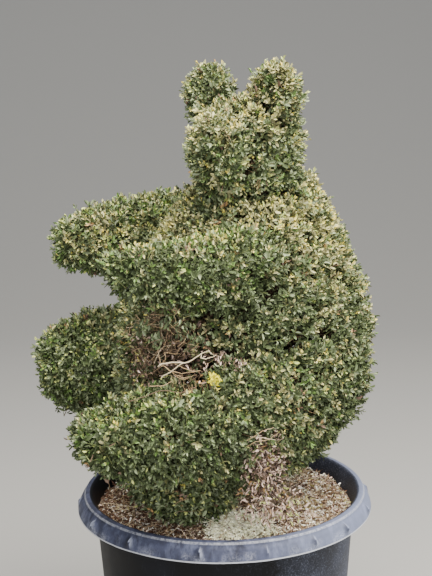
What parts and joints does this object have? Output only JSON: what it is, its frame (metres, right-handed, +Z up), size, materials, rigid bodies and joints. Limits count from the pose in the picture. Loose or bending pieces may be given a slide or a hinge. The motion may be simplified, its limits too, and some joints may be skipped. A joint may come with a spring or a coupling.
{
  "type": "potted boxwood bear topiary",
  "caption": "Clipped boxwood topiary of a seated bear with arms and legs held forward, growing on a short trunk in a round black nursery pot with a flared skirt rim.",
  "frame": {"origin": "centre of the pot's flat underside", "axes": "+Z up, -Y the way the bear's body faces, +X the bear's own left side"},
  "size_m": [0.562, 0.6146, 1.2359],
  "materials": {
    "pot": "blow-moulded black polyethylene, matt and weathered to blue-grey on the rim",
    "soil": "composted bark potting mix under fallen brown leaves",
    "bark": "pale grey-brown corky bark",
    "foliage": "small waxy evergreen leaves, tipped cream and bronze"
  },
  "bodies": {
    "root": {"pot": "pot", "soil": "soil", "trunk": "bark", "left_leg_bough": "bark", "right_leg_bough": "bark", "left_arm_bough": "bark", "right_arm_bough": "bark", "snout_bough": "bark", "left_ear_bough": "bark", "right_ear_bough": "bark", "left_leg": "foliage", "right_leg": "foliage", "left_arm": "foliage", "right_arm": "foliage", "snout": "foliage", "left_ear": "foliage", "right_ear": "foliage", "head": "foliage", "seat": "foliage", "torso": "foliage"}
  },
  "joints": []
}
